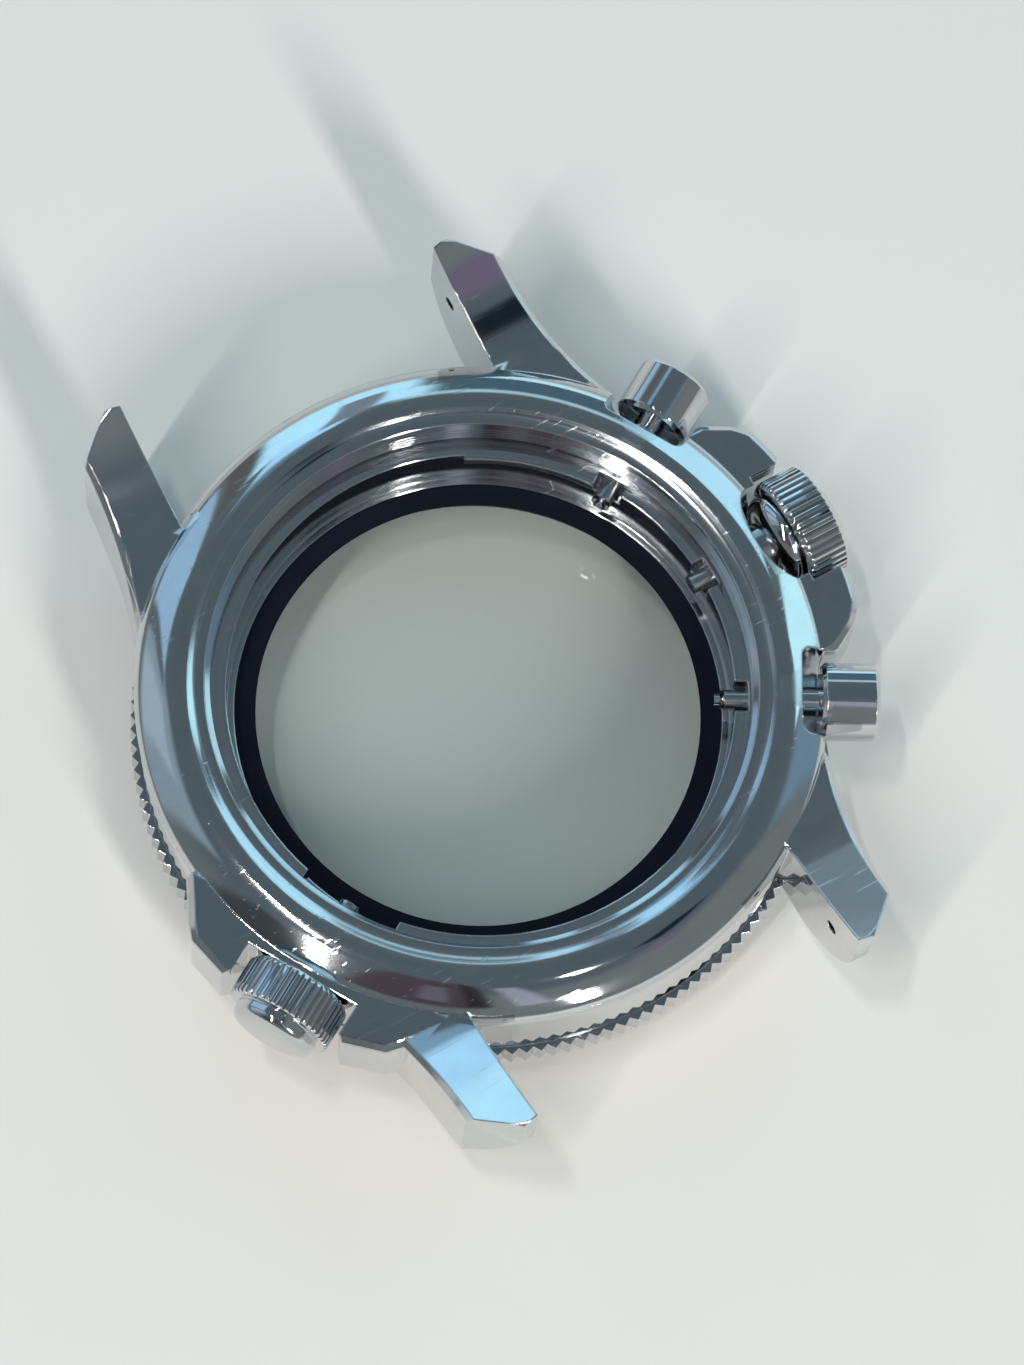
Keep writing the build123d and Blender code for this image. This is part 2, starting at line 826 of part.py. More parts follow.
def pusher_clip(angle):
    """Open clip that keeps the pusher in its tube."""
    high = pusher_nozzle_inner_reach - running_clearance
    low = high - pusher_clip_thickness
    inner = pusher_clip_groove_radius + seat_clearance
    ring = tube(pusher_clip_radius, inner, low + seat_clearance, high - seat_clearance)
    mouth = block((-inner, 0, low - overrun), (inner, pusher_clip_radius + overrun, high + overrun))
    return control_place(angle) * (ring - mouth)


os.makedirs("parts", exist_ok=True)

pieces = {
    "mid_case": mid_case(),
    "inner_ring": inner_ring(),
    "crystal": crystal(),
    "crystal_gasket": crystal_gasket(),
    "rotating_bezel": rotating_bezel(),
    "bezel_insert": bezel_insert(),
    "bezel_pip": bezel_pip(),
    "bezel_retaining_wire": bezel_retaining_wire(),
    "bezel_click_spring": bezel_click_spring(),
    "crown_tube": crown_tube(),
    "crown_head": crown_head(),
    "crown_gasket": crown_gasket(),
    "crown_stem": crown_stem(),
    "crown_spring": crown_spring(),
    "valve_tube": valve_tube(),
    "valve_head": valve_head(),
    "valve_gasket": valve_gasket(),
    "valve_plunger": valve_plunger(),
    "valve_spring": valve_spring(),
}

for name, angle in (("pusher_2", -pusher_angle), ("pusher_4", pusher_angle)):
    pieces[name] = pusher(angle)
    pieces[name + "_tube"] = pusher_tube(angle)
    pieces[name + "_spring"] = pusher_spring(angle)
    pieces[name + "_clip"] = pusher_clip(angle)

for name, solid in pieces.items():
    export_step(solid, "parts/" + name + ".step")
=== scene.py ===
import bpy
import math
from mathutils import Matrix, Vector


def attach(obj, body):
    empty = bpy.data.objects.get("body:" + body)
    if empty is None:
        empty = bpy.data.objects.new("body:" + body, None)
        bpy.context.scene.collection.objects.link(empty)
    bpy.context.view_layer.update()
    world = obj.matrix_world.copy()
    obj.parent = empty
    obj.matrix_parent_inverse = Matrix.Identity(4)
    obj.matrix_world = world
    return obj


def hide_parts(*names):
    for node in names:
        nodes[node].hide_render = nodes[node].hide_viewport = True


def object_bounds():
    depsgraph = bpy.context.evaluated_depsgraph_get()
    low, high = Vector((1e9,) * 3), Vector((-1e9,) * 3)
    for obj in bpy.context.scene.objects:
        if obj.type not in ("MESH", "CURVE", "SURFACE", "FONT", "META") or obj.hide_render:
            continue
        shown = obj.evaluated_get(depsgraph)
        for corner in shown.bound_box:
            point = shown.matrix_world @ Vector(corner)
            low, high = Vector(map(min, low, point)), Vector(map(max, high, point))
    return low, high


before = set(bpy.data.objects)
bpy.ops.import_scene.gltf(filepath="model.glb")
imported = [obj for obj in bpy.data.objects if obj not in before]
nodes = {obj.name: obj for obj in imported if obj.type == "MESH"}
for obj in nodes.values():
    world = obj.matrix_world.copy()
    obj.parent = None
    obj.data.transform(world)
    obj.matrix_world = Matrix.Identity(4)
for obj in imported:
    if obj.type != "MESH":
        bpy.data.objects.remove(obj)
cad_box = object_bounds()

MM = 0.001

# Camera: place and axes worked out from the photograph, in the frame of the case
IMAGE_HEIGHT = 1365
FOCAL_PIXELS = 5472.1
SENSOR_MM = 36.0
CAMERA_PLACE_MM = (-67.25, -89.12, 311.77)
CAMERA_RIGHT = (0.86608, -0.49736, 0.05034)
CAMERA_DOWN = (-0.45476, -0.82568, -0.33385)

# Ridge of the case back thread, in millimetres: foot of the ridge, its rise and pitch, how many
# turns it makes, where it starts, how deep its foot is sunk in the wall, and the half widths of
# its foot and of its crest as shares of the pitch
THREAD_WALL = 16.8
THREAD_RISE = 0.32
THREAD_PITCH = 0.38
THREAD_TURNS = 4.1
THREAD_START = -0.2
THREAD_SUNK = 0.03
THREAD_FOOT = 0.46
THREAD_CREST = 0.1
THREAD_STEPS = 200
THREAD_RUNOUT = 0.12

# Marks on the front of the bezel insert: height of the front, rise of a mark, outer end of the
# bars, inner end and half width of a long and of a short bar, the minute before which short bars
# stand, corners of the triangle, faces of a bar, and place and size of the numbers
INSERT_FRONT = -11.12
MARK_RISE = 0.02
MARK_END = 19.0
LONG_MARK = (16.75, 0.24)
SHORT_MARK = (18.2, 0.09)
SHORT_MARKS_BEFORE = 20
TRIANGLE = ((-1.35, -19.1), (1.35, -19.1), (0.0, -16.5))
BAR_FACES = (
    (0, 1, 2, 3), (7, 6, 5, 4), (0, 4, 5, 1), (1, 5, 6, 2), (2, 6, 7, 3), (3, 7, 4, 0),
)
NUMBER_REACH = 17.85
NUMBER_SIZE = 2.35

# Fluted heads: height of their axis below the thread mouth, flutes a turn, depth of a flute, and
# the height of one flute as (share of its width, share of its depth) points
CONTROL_DEPTH = 2.6
FLUTES = 46
FLUTE_DEPTH = 0.2
FLUTE_PROFILE = (
    (0.0, 0.82), (0.1, 1.0), (0.28, 1.0), (0.46, 1.0),
    (0.56, 0.82), (0.66, 0.35), (0.78, 0.0), (0.9, 0.35),
)

# Both heads: where their fluted band starts and ends, the bevels at its two ends, and the room for
# the tube with its gasket groove
BAND_START = 21.4
BAND_END = 24.1
BAND_STEP = 0.04
BAND_BEVELS = (0.36, 0.14)
TUBE_ROOM = 1.6
TUBE_GROOVE = 2.05

# Turned shape of the case: height and slope of the shoulder by radius, radius and slope of the
# flank by height, slopes in degrees, and how near to it a point lies that takes its slope
SHOULDER_FOOT = -1.15
SHOULDER_START = 18.6
SHOULDER_HEIGHTS = ((18.73, 0.15), (19.8, -0.22), (20.75, -0.76), (21.1, SHOULDER_FOOT))
SHOULDER_SLOPES = (
    (SHOULDER_START, 0.0), (18.75, 9.0), (19.8, 23.0), (20.75, 39.0), (21.1, 62.0),
)
FLANK_FOOT = -7.3
FLANK_SLOPES = ((-2.3, 88.0), (SHOULDER_FOOT, 62.0))
FLANK_RADII = ((FLANK_FOOT, 20.85), (SHOULDER_FOOT, 21.1))
TURNED_NEAR = (0.03, 0.05)

# Milled rooms behind the controls: angle, half width, lowest and highest reach, then the width of
# their border, their roughness, and the darker tint painted into them as painted shade
POCKETS = ((0.0, 3.72, 19.1, 21.1), (30.0, 2.9, 18.0, 21.0), (-30.0, 2.9, 18.0, 21.0))
POCKET_BORDER = 0.08
POCKET_ROUGHNESS = 0.16
POCKET_PAINTED_SHADE = (0.62, 0.64, 0.67, 1.0)

# Finish of the steel: scales of its smudges, of its grain and of its coarse and thin turning
# rings, how much faster the rings change along the axis, and the turn and density of its hairlines
SMUDGE_SCALE = 300.0
GRAIN_SCALE = 5200.0
RING_SCALES = (5200.0, 16000.0)
RING_RISE = 1.7
HAIRLINES = (
    ((0.3, 0.2, 0.5), 210.0), ((0.1, 0.4, 2.1), 170.0),
    ((0.5, 0.1, 3.9), 170.0), ((0.2, 0.6, 5.4), 170.0),
)

# Colours, written as linear values, and the distance of the lamps in metres
STEEL = (0.66, 0.675, 0.69, 1.0)
STEEL_DARK = (0.52, 0.535, 0.555, 1.0)
FLOOR = (0.80, 0.775, 0.735, 1.0)
BLACK_RING = (0.003, 0.0045, 0.009, 1.0)
BLACK_RING_WORN = (0.006, 0.009, 0.018, 1.0)
GLASS_CLEAR = (0.86, 0.89, 0.89, 1.0)
GLASS_GLOSS = (0.9, 0.95, 1.0, 1.0)
LAMP_COLOR = (1.0, 0.98, 0.95)
LAMP_DISTANCE = 0.9

# Room light: its colour at the sides and overhead with the heights in degrees between which they
# blend, and the pale rim where it meets the floor
ROOM_SIDE = (0.17, 0.20, 0.205, 1.0)
ROOM_TOP = (0.112, 0.148, 0.172, 1.0)
ROOM_BLEND = (20.0, 70.0)
ROOM_RIM = (0.60, 0.60, 0.58, 1.0)
ROOM_RIM_BLEND = (3.0, 7.0)

# Plain panels in the room, in degrees: angle round Z from plus X and its half width, lowest and
# highest height above the floor, softness of the border, and colour
ROOM_PANELS = (
    (-74, 46, 0, 62, 12, (0.205, 0.235, 0.24, 1.0)),
    (-60, 5, 57, 65, 3, (0.20, 0.17, 0.25, 1.0)),
    (-172, 14, 22, 62, 8, (0.06, 0.075, 0.08, 1.0)),
    (-39, 11, 68, 73, 2, (0.012, 0.02, 0.028, 1.0)),
    (-134, 17, 38, 78, 5, (0.09, 0.07, 0.09, 1.0)),
    (-129, 4, 46, 70, 3, (0.17, 0.16, 0.20, 1.0)),
    (-117, 3, 40, 76, 3, (0.035, 0.03, 0.035, 1.0)),
    (-104, 4, 40, 72, 3, (0.42, 0.455, 0.54, 1.0)),
    (137, 20, 13, 60, 7, (0.31, 0.41, 0.48, 1.0)),
    (132, 8, 16, 52, 5, (0.46, 0.57, 0.66, 1.0)),
    (118, 2, 10, 52, 2, (0.14, 0.17, 0.19, 1.0)),
    (106, 10, 10, 53, 2, (0.40, 0.64, 0.88, 1.0)),
    (90, 4, 0, 44, 2, (0.13, 0.14, 0.145, 1.0)),
    (-14, 12, 5, 52, 10, (0.20, 0.32, 0.42, 1.0)),
    (50, 12, 14, 38, 3, (0.09, 0.17, 0.22, 1.0)),
    (48, 18, 40, 46, 3, (0.50, 0.82, 0.95, 1.0)),
    (5, 8, 0, 54, 2, (0.78, 1.32, 1.45, 1.0)),
    (30, 10, 0, 51, 2, (0.66, 1.16, 1.42, 1.0)),
    (50, 11, 0, 13, 2, (0.74, 1.20, 1.36, 1.0)),
    (76, 11, 0, 27, 3, (0.66, 1.18, 1.46, 1.0)),
    (75, 12, 25, 42, 3, (0.66, 1.18, 1.46, 1.0)),
    (77, 6, 39, 52, 2, (0.58, 1.05, 1.42, 1.0)),
    (77, 6, 51, 59, 4, (0.26, 0.46, 0.62, 1.0)),
    (72, 3, 20, 46, 1, (0.24, 0.31, 0.36, 1.0)),
)


class Nodes:
    """Short way to add shader nodes to one material or world."""

    def __init__(self, owner):
        owner.use_nodes = True
        self.tree = owner.node_tree
        self.tree.nodes.clear()

    def add(self, kind, inputs=None, **settings):
        node = self.tree.nodes.new(kind)
        for name, value in settings.items():
            setattr(node, name, value)
        for name, value in (inputs or {}).items():
            socket = node.inputs[name]
            if isinstance(value, bpy.types.NodeSocket):
                self.tree.links.new(value, socket)
            else:
                socket.default_value = value
        return node

    def math(self, operation, a, b=0.0):
        return self.add("ShaderNodeMath", {0: a, 1: b}, operation=operation).outputs[0]

    def map_range(self, value, low, high, out_low, out_high, smooth=False):
        kind = "SMOOTHSTEP" if smooth else "LINEAR"
        inputs = {
            "Value": value, "From Min": low, "From Max": high,
            "To Min": out_low, "To Max": out_high,
        }
        return self.add("ShaderNodeMapRange", inputs, interpolation_type=kind).outputs[0]

    def mix_color(self, factor, a, b):
        node = self.add("ShaderNodeMix", data_type="RGBA")
        for index, value in ((0, factor), (6, a), (7, b)):
            if isinstance(value, bpy.types.NodeSocket):
                self.tree.links.new(value, node.inputs[index])
            else:
                node.inputs[index].default_value = value
        return node.outputs[2]

    def noise(self, vector, scale, detail=2.0, roughness=0.5):
        inputs = {"Vector": vector, "Scale": scale, "Detail": detail, "Roughness": roughness}
        return self.add("ShaderNodeTexNoise", inputs).outputs["Fac"]

    def steps(self, value, points):
        """Value of a run of straight lines through (position, height) points."""
        total = points[0][1]
        for (low, start), (high, end) in zip(points, points[1:]):
            total = self.math("ADD", total, self.map_range(value, low, high, 0.0, end - start))
        return total

    def near(self, a, b, inner, outer):
        """One where two values are closer than inner, and nothing where they are beyond outer."""
        apart = self.math("ABSOLUTE", self.math("SUBTRACT", a, b))
        return self.map_range(apart, inner, outer, 1.0, 0.0)

    def place(self):
        return self.add("ShaderNodeTexCoord").outputs["Object"]

    def stretched(self, vector, scale, turn):
        inputs = {"Vector": vector, "Scale": scale, "Rotation": turn}
        return self.add("ShaderNodeMapping", inputs).outputs[0]

    def vector_math(self, operation, inputs):
        return self.add("ShaderNodeVectorMath", inputs, operation=operation).outputs

    def combine(self, inputs):
        return self.add("ShaderNodeCombineXYZ", inputs).outputs[0]

    def separate(self, vector):
        return self.add("ShaderNodeSeparateXYZ", {0: vector}).outputs

    def fade(self, value, start, end, soft):
        """One between start and end, with a smooth border at both."""
        rise = self.map_range(value, start - soft / 2, start + soft / 2, 0.0, 1.0, smooth=True)
        fall = self.map_range(value, end - soft / 2, end + soft / 2, 1.0, 0.0, smooth=True)
        return self.math("MULTIPLY", rise, fall)


def scratches(n, place, turn, density):
    """Thin straight hairlines along one direction, one on a line and nothing beside it."""
    lines = n.noise(n.stretched(place, (density, density * 24, density * 24), turn), 1.0, 1.0)
    sparse = n.noise(n.stretched(place, (density, density * 3, density * 3), turn), 1.0, 0.0)
    line = n.map_range(lines, 0.69, 0.73, 0.0, 1.0)
    return n.math("MULTIPLY", line, n.map_range(sparse, 0.5, 0.62, 0.0, 1.0))


def case_normal(n, axes, radius):
    """True rounding of the turned shoulder and flank, and the mesh's own normal elsewhere."""
    height = n.math("MULTIPLY", axes["Z"], 1.0 / MM)
    radius = n.math("MULTIPLY", radius, 1.0 / MM)
    above = n.map_range(height, SHOULDER_FOOT - 0.01, SHOULDER_FOOT + 0.01, 0.0, 1.0)
    on_shoulder = n.near(height, n.steps(radius, SHOULDER_HEIGHTS), *TURNED_NEAR)
    past_start = n.map_range(radius, SHOULDER_START, SHOULDER_START + 0.1, 0.0, 1.0)
    on_shoulder = n.math("MULTIPLY", on_shoulder, past_start)
    on_flank = n.near(radius, n.steps(height, FLANK_RADII), *TURNED_NEAR)
    past_foot = n.map_range(height, FLANK_FOOT + 0.02, FLANK_FOOT + 0.1, 0.0, 1.0)
    on_flank = n.math("MULTIPLY", on_flank, past_foot)
    mask = n.add("ShaderNodeMix", {0: above, 2: on_flank, 3: on_shoulder}).outputs[0]
    slopes = {0: above, 2: n.steps(height, FLANK_SLOPES), 3: n.steps(radius, SHOULDER_SLOPES)}
    slope = n.math("MULTIPLY", n.add("ShaderNodeMix", slopes).outputs[0], math.pi / 180)
    flat = n.vector_math("NORMALIZE", {0: n.combine({"X": axes["X"], "Y": axes["Y"]})})[0]
    out = n.vector_math("SCALE", {0: flat, 3: n.math("SINE", slope)})[0]
    local = n.vector_math("ADD", {0: out, 1: n.combine({"Z": n.math("COSINE", slope)})})[0]
    turned = n.add(
        "ShaderNodeVectorTransform", {0: local},
        vector_type="NORMAL", convert_from="OBJECT", convert_to="WORLD",
    ).outputs[0]
    own = n.add("ShaderNodeNewGeometry").outputs["Normal"]
    mixed = n.add("ShaderNodeMix", {0: mask, 4: own, 5: turned}, data_type="VECTOR").outputs[1]
    return n.vector_math("NORMALIZE", {0: mixed})[0]


def control_pockets(n, place):
    """One inside the milled rooms behind the crown and the pushers, whose skin is duller and
    painted darker as painted shade.
    """
    rooms = 0.0
    for angle, half, low, high in POCKETS:
        turn = (0.0, 0.0, math.radians(-angle))
        axes = n.separate(n.stretched(place, (1.0, 1.0, 1.0), turn))
        beyond = n.map_range(axes["X"], low * MM, (low + POCKET_BORDER) * MM, 0.0, 1.0)
        short = n.map_range(axes["X"], (high - POCKET_BORDER) * MM, high * MM, 1.0, 0.0)
        down = n.math("ADD", axes["Z"], CONTROL_DEPTH * MM)
        squares = n.math("ADD", n.math("POWER", axes["Y"], 2.0), n.math("POWER", down, 2.0))
        apart = n.math("SQRT", squares)
        beside = n.map_range(apart, (half - POCKET_BORDER) * MM, half * MM, 1.0, 0.0)
        room = n.math("MULTIPLY", beside, n.math("MULTIPLY", beyond, short))
        rooms = n.math("MAXIMUM", rooms, room)
    return rooms


def steel(name, tint, low_rough, high_rough, edge_mm, wear, turned_inside=0.0):
    """Polished steel with hairlines, faint smudges and rounded edges.

    With a radius in turned_inside it is the steel of the case: fine turning rings inside that
    radius, duller pockets painted darker as painted shade, and the true rounding of the shoulder.
    """
    material = bpy.data.materials.new(name)
    n = Nodes(material)
    place = n.place()
    smudge = n.noise(place, SMUDGE_SCALE, 4.0, 0.6)
    fine = n.noise(place, GRAIN_SCALE, 2.0)
    rough = n.map_range(smudge, 0.35, 0.7, low_rough, high_rough)
    marks = 0.0
    for turn, density in HAIRLINES:
        marks = n.math("MAXIMUM", marks, scratches(n, place, turn, density))
    rough = n.math("ADD", rough, n.math("MULTIPLY", marks, 0.10 * wear))
    dark = tuple(c * 0.88 for c in tint[:3]) + (1.0,)
    color = n.mix_color(n.map_range(smudge, 0.3, 0.75, 0.0, 1.0), tint, dark)
    height = n.math("ADD", n.math("MULTIPLY", fine, 0.08), n.math("MULTIPLY", marks, -1.0 * wear))
    edge = {"Radius": edge_mm * MM}
    if turned_inside:
        axes = n.separate(place)
        flat = n.combine({"X": axes["X"], "Y": axes["Y"]})
        radius = n.vector_math("LENGTH", {0: flat})["Value"]
        edge["Normal"] = case_normal(n, axes, radius)
        inside = n.map_range(radius, (turned_inside + 0.06) * MM, turned_inside * MM, 0.0, 1.0)
        rings = n.combine({"X": radius, "Y": n.math("MULTIPLY", axes["Z"], RING_RISE)})
        coarse = n.noise(rings, RING_SCALES[0], 2.0, 0.7)
        thin = n.noise(rings, RING_SCALES[1], 1.0)
        lines = n.math("ADD", coarse, n.math("MULTIPLY", thin, 0.5))
        height = n.math("ADD", height, n.math("MULTIPLY", inside, n.math("MULTIPLY", lines, 1.6)))
        duller = n.map_range(coarse, 0.35, 0.65, 0.01, 0.07)
        rough = n.math("ADD", rough, n.math("MULTIPLY", inside, duller))
        worn = n.mix_color(n.map_range(lines, 0.5, 1.0, 0.0, 1.0), STEEL_DARK, tint)
        color = n.mix_color(n.math("MULTIPLY", inside, 0.6), color, worn)
        pockets = control_pockets(n, place)
        rough = n.math("MAXIMUM", rough, n.math("MULTIPLY", pockets, POCKET_ROUGHNESS))
        # Painted shade: the milled rooms behind the controls are tinted darker than the steel
        # around them
        color = n.mix_color(pockets, color, POCKET_PAINTED_SHADE)
    soft_edge = n.add("ShaderNodeBevel", edge, samples=6)
    bump = n.add(
        "ShaderNodeBump",
        {"Strength": 0.05, "Distance": 0.02 * MM, "Height": height, "Normal": soft_edge.outputs[0]},
    )
    shader = n.add("ShaderNodeBsdfPrincipled", {
        "Base Color": color, "Metallic": 1.0, "Roughness": rough, "Normal": bump.outputs[0],
    })
    n.add("ShaderNodeOutputMaterial", {"Surface": shader.outputs[0]})
    return material


def black_anodised():
    """Very dark, matt ring with a fine grain."""
    material = bpy.data.materials.new("black_ring")
    n = Nodes(material)
    place = n.place()
    grain = n.noise(place, 9000.0, 3.0)
    cloud = n.noise(place, 260.0, 2.0)
    color = n.mix_color(cloud, BLACK_RING, BLACK_RING_WORN)
    bump = n.add("ShaderNodeBump", {"Strength": 0.25, "Distance": 0.01 * MM, "Height": grain})
    shader = n.add("ShaderNodeBsdfPrincipled", {
        "Base Color": color, "Roughness": n.map_range(cloud, 0.3, 0.7, 0.48, 0.6),
        "Specular IOR Level": 0.06, "Normal": bump.outputs[0],
    })
    n.add("ShaderNodeOutputMaterial", {"Surface": shader.outputs[0]})
    return material


def clear_glass():
    """Clear crystal that lets light and shadow through, and mirrors on its outer side only."""
    material = bpy.data.materials.new("crystal")
    n = Nodes(material)
    clear = n.add("ShaderNodeBsdfTransparent", {"Color": GLASS_CLEAR})
    gloss = n.add("ShaderNodeBsdfGlossy", {"Roughness": 0.02, "Color": GLASS_GLOSS})
    fresnel = n.add("ShaderNodeFresnel", {"IOR": 1.5}).outputs[0]
    behind = n.add("ShaderNodeNewGeometry").outputs["Backfacing"]
    mirror = n.math("MULTIPLY", fresnel, n.math("SUBTRACT", 1.0, behind))
    both = n.add("ShaderNodeMixShader", {"Fac": mirror, 1: clear.outputs[0], 2: gloss.outputs[0]})
    n.add("ShaderNodeOutputMaterial", {"Surface": both.outputs[0]})
    return material


def plain(name, color, rough, metallic=0.0):
    """Simple finish with a fine grain, for small pieces."""
    material = bpy.data.materials.new(name)
    n = Nodes(material)
    grain = n.noise(n.place(), 3000.0, 3.0)
    dark = tuple(c * 0.8 for c in color[:3]) + (1.0,)
    bump = n.add("ShaderNodeBump", {"Strength": 0.2, "Distance": 0.01 * MM, "Height": grain})
    shader = n.add("ShaderNodeBsdfPrincipled", {
        "Base Color": n.mix_color(grain, color, dark), "Metallic": metallic,
        "Roughness": n.map_range(grain, 0.3, 0.7, rough * 0.85, rough * 1.15),
        "Normal": bump.outputs[0],
    })
    n.add("ShaderNodeOutputMaterial", {"Surface": shader.outputs[0]})
    return material


def smooth_by_angle(limit):
    """Modifier group that joins doubled points and shades edges flatter than the limit smooth."""
    group = bpy.data.node_groups.new("smooth_%d" % limit, "GeometryNodeTree")
    group.interface.new_socket("Geometry", in_out="INPUT", socket_type="NodeSocketGeometry")
    group.interface.new_socket("Geometry", in_out="OUTPUT", socket_type="NodeSocketGeometry")
    add = group.nodes.new
    link = group.links.new
    start = add("NodeGroupInput")
    merge = add("GeometryNodeMergeByDistance")
    merge.inputs["Distance"].default_value = 0.0005 * MM
    faces = add("GeometryNodeSetShadeSmooth")
    faces.domain = "FACE"
    faces.inputs["Shade Smooth"].default_value = True
    angle = add("GeometryNodeInputMeshEdgeAngle")
    sharp = add("FunctionNodeCompare")
    sharp.data_type = "FLOAT"
    sharp.operation = "GREATER_THAN"
    sharp.inputs["B"].default_value = math.radians(limit)
    edges = add("GeometryNodeSetShadeSmooth")
    edges.domain = "EDGE"
    edges.inputs["Shade Smooth"].default_value = False
    end = add("NodeGroupOutput")
    link(start.outputs[0], merge.inputs["Geometry"])
    link(merge.outputs[0], faces.inputs["Geometry"])
    link(faces.outputs[0], edges.inputs["Geometry"])
    link(angle.outputs["Unsigned Angle"], sharp.inputs["A"])
    link(sharp.outputs[0], edges.inputs["Selection"])
    link(edges.outputs[0], end.inputs[0])
    return group


def shade_smooth(piece, limit=24):
    """Shades the curved faces of a piece smooth, and keeps edges above limit degrees sharp."""
    group = bpy.data.node_groups.get("smooth_%d" % limit) or smooth_by_angle(limit)
    piece.modifiers.new("smooth", "NODES").node_group = group


def dress(material, *names, limit=24):
    """Gives one material to CAD nodes and shades their curved faces smooth."""
    for name in names:
        piece = nodes[name]
        piece.data.materials.clear()
        piece.data.materials.append(material)
        shade_smooth(piece, limit)


def add_mesh(name, points, faces, material, body):
    """New piece of the object, in metres from points in millimetres."""
    mesh = bpy.data.meshes.new(name)
    mesh.from_pydata([(x * MM, y * MM, z * MM) for x, y, z in points], [], faces)
    mesh.materials.append(material)
    piece = bpy.data.objects.new(name, mesh)
    bpy.context.scene.collection.objects.link(piece)
    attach(piece, body)
    return piece


def polar(radius, angle, height):
    return (radius * math.cos(angle), radius * math.sin(angle), height)


def case_back_thread(material):
    """Thread in the mouth of the case, as one ridge that winds down and runs out at both ends."""
    count = int(THREAD_STEPS * THREAD_TURNS)
    runout = THREAD_STEPS * THREAD_RUNOUT
    foot = THREAD_WALL + THREAD_SUNK
    half = THREAD_PITCH * THREAD_FOOT
    land = THREAD_PITCH * THREAD_CREST
    points = []
    faces = []
    for i in range(count + 1):
        angle = 2 * math.pi * i / THREAD_STEPS
        height = THREAD_START - THREAD_PITCH * i / THREAD_STEPS
        fade = min(1.0, i / runout, (count - i) / runout)
        crest = THREAD_WALL - THREAD_RISE * fade
        points += [
            polar(foot, angle, height + half), polar(crest, angle, height + land),
            polar(crest, angle, height - land), polar(foot, angle, height - half),
        ]
        if i:
            base = 4 * (i - 1)
            for k in range(4):
                m = (k + 1) % 4
                faces.append((base + k, base + m, base + 4 + m, base + 4 + k))
    faces.append((3, 2, 1, 0))
    end = 4 * count
    faces.append((end, end + 1, end + 2, end + 3))
    shade_smooth(add_mesh("case_back_thread", points, faces, material, "case"))


def fluted_head(name, node, angle, stations, material, body):
    """Head of a crown or a valve as one closed skin from (radius, reach, ridge radius) stations.

    A station with a ridge radius of 0 is round, and any other one follows the flutes.
    """
    a = math.radians(angle)
    around = []
    for i in range(FLUTES):
        around += [(2 * math.pi * (i + share) / FLUTES, height) for share, height in FLUTE_PROFILE]
    points = []
    faces = []
    count = len(around)
    for radius, reach, ridge in stations:
        for turn, height in around:
            r = min(radius, ridge - (1.0 - height) * FLUTE_DEPTH) if ridge else radius
            across = r * math.cos(turn)
            points.append((
                reach * math.cos(a) - across * math.sin(a),
                reach * math.sin(a) + across * math.cos(a), r * math.sin(turn) - CONTROL_DEPTH,
            ))
    for k in range(len(stations) - 1):
        for i in range(count):
            j = (i + 1) % count
            faces.append((k * count + i, k * count + j, (k + 1) * count + j, (k + 1) * count + i))
    last = (len(stations) - 1) * count
    faces.append(tuple(reversed(range(count))))
    faces.append(tuple(range(last, last + count)))
    piece = add_mesh(name, points, faces, material, body)
    shade_smooth(piece)
    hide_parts(node)


def head_room(low, high, groove_low, groove_high):
    """Stations of the room for the tube inside a head, from its end wall to its mouth."""
    return [
        (0.05, high, 0.0), (TUBE_ROOM - 0.01, high, 0.0), (TUBE_ROOM, high - 0.01, 0.0),
        (TUBE_ROOM, groove_high, 0.0), (TUBE_GROOVE, groove_high, 0.0),
        (TUBE_GROOVE, groove_low, 0.0), (TUBE_ROOM, groove_low, 0.0), (TUBE_ROOM, low, 0.0),
    ]


def fluted_band(radius):
    """Stations of the fluted band, with both ends of the ridges bevelled to scallops."""
    inner_bevel, outer_bevel = BAND_BEVELS
    low = BAND_START + BAND_STEP
    stations = []
    for step in range(7):
        share = step / 6
        edge = radius - FLUTE_DEPTH * (1.0 - share) ** 1.5
        stations.append((edge, low + inner_bevel * share, radius))
    for step in range(5):
        share = 1.0 - step / 4
        edge = radius - FLUTE_DEPTH * (1.0 - share) ** 1.5
        stations.append((edge, BAND_END - outer_bevel * share, radius))
    return stations


def crown_detail(material):
    """Crown with its ball-like collar, undercut, fluted band and smooth dome."""
    band_radius = 3.6
    stations = head_room(20.2, 24.0, 20.75, 21.2)
    for step in range(10):
        turn = math.pi / 2 * step / 9
        stations.append((1.75 + 1.2 * math.sin(turn), 21.22 - 1.02 * math.cos(turn), 0.0))
    stations += [
        (2.7, 21.24, 0.0), (2.45, 21.3, 0.0), (2.45, BAND_START, 0.0), (3.28, BAND_START, 0.0),
    ]
    stations += fluted_band(band_radius)
    edge, rise = 3.33, 0.95
    sphere = (edge ** 2 + rise ** 2) / (2 * rise)
    for step in range(12):
        r = edge * math.cos(math.pi / 2 * step / 12)
        reach = BAND_END + rise - sphere + math.sqrt(sphere ** 2 - r ** 2)
        stations.append((r, reach, 0.0))
    fluted_head("crown_fluted", "crown_head", 0.0, stations, material, "crown")


def valve_detail(material):
    """Valve head with its fluted band and the smooth drum beyond it."""
    band_radius = 3.35
    stations = head_room(BAND_START, 23.2, 21.8, 22.25)
    stations += [(3.03, BAND_START, 0.0)]
    stations += fluted_band(band_radius)
    drum = [(2.95, 0.01), (2.72, 0.02), (2.68, 0.06)]
    for step in range(9):
        turn = math.pi / 2 * step / 8
        drum.append((2.2 + 0.48 * math.cos(turn), 0.4 + 0.6 * math.sin(turn)))
    drum += [(2.1, 1.025), (1.9, 1.04), (0.05, 1.04)]
    stations += [(radius, BAND_END + reach, 0.0) for radius, reach in drum]
    fluted_head("valve_fluted", "valve_head", 210.0, stations, material, "valve_knob")


